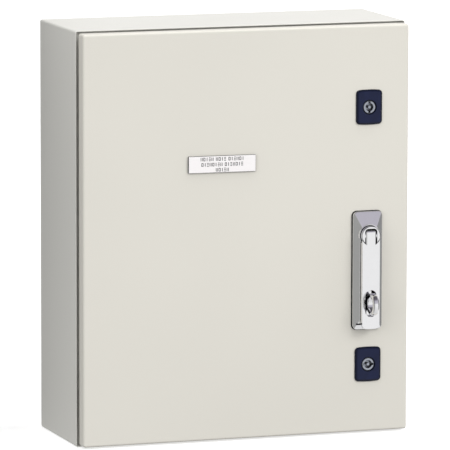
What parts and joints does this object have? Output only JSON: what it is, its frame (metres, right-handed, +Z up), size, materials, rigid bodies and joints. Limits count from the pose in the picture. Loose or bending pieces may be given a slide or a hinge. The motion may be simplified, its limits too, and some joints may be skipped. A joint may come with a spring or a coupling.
{
  "type": "main switch enclosure",
  "caption": "Wall-mounted sheet-steel switch enclosure with a hinged overlapping door, quarter-turn locks, a padlockable swing handle, a label, a mounting plate and a gland plate.",
  "frame": {"origin": "centre of the four wall holes, on the outside face of the back panel", "axes": "+Z up, +X to the right seen from the front, +Y into the wall; the door faces -Y"},
  "size_m": [0.5, 0.2443, 0.6],
  "materials": {
    "body_paint": "fine-textured powder coat, light grey beige",
    "door_paint": "fine-textured powder coat, light grey beige",
    "zinc_plate": "bright zinc plated sheet",
    "fastener": "zinc plated",
    "seal_foam": "foamed polyurethane seal",
    "flat_seal": "flat rubber seal",
    "chrome": "polished chrome plated zinc casting",
    "housing_plastic": "blue-black glass filled nylon",
    "zinc_casting": "satin zinc casting",
    "label_laminate": "white two-layer laminate with a black core"
  },
  "bodies": {
    "root": {"enclosure_body": "body_paint", "mounting_plate": "zinc_plate", "mounting_studs": "fastener", "mounting_plate_washers": "fastener", "mounting_plate_nuts": "fastener", "gland_plate": "zinc_plate", "gland_plate_gasket": "flat_seal", "gland_plate_studs": "fastener", "gland_plate_nuts": "fastener", "body_earth_stud": "fastener", "body_earth_nut": "fastener", "hinge_body_leaf_upper": "zinc_plate", "hinge_body_leaf_lower": "zinc_plate", "hinge_pin_upper": "fastener", "hinge_pin_lower": "fastener", "hinge_screws": "fastener"},
    "door": {"door_panel": "door_paint", "door_gasket": "seal_foam", "hinge_door_leaf_upper": "zinc_plate", "hinge_door_leaf_lower": "zinc_plate", "label_plate": "label_laminate", "door_earth_stud": "fastener", "door_earth_nut": "fastener", "upper_lock_housing": "housing_plastic", "lower_lock_housing": "housing_plastic", "upper_lock_nut": "zinc_casting", "lower_lock_nut": "zinc_casting", "handle_base": "chrome", "handle_base_gasket": "flat_seal", "padlock_eye": "chrome", "handle_clamp_plate": "zinc_plate", "handle_base_screws": "fastener"},
    "upper_lock": {"upper_lock_barrel": "zinc_casting", "upper_lock_cam": "zinc_plate", "upper_lock_cam_screw": "fastener"},
    "lower_lock": {"lower_lock_barrel": "zinc_casting", "lower_lock_cam": "zinc_plate", "lower_lock_cam_screw": "fastener"},
    "hub": {"handle_hub": "chrome", "handle_cam": "zinc_plate", "handle_cam_screw": "fastener", "lever_pin": "fastener"},
    "lever": {"handle_lever": "chrome"}
  },
  "joints": [
    {"name": "door_swing", "type": "hinge", "parent": "root", "child": "door", "pos_m": [-0.242, -0.186, 0], "axis": [0, 0, -1], "range_deg": [0, 115]},
    {"name": "upper_lock_turn", "type": "hinge", "parent": "door", "child": "upper_lock", "pos_m": [0.1853, -0.2, 0.1785], "axis": [0, -1, 0], "range_deg": [0, 90]},
    {"name": "lower_lock_turn", "type": "hinge", "parent": "door", "child": "lower_lock", "pos_m": [0.1853, -0.2, -0.1977], "axis": [0, 1, 0], "range_deg": [0, 90]},
    {"name": "handle_turn", "type": "hinge", "parent": "door", "child": "hub", "pos_m": [0.183, -0.2, -0.007], "axis": [0, 1, 0], "range_deg": [0, 90]},
    {"name": "lever_lift", "type": "hinge", "parent": "hub", "child": "lever", "pos_m": [0.183, -0.2135, -0.007], "axis": [-1, 0, 0], "range_deg": [0, 30]}
  ]
}
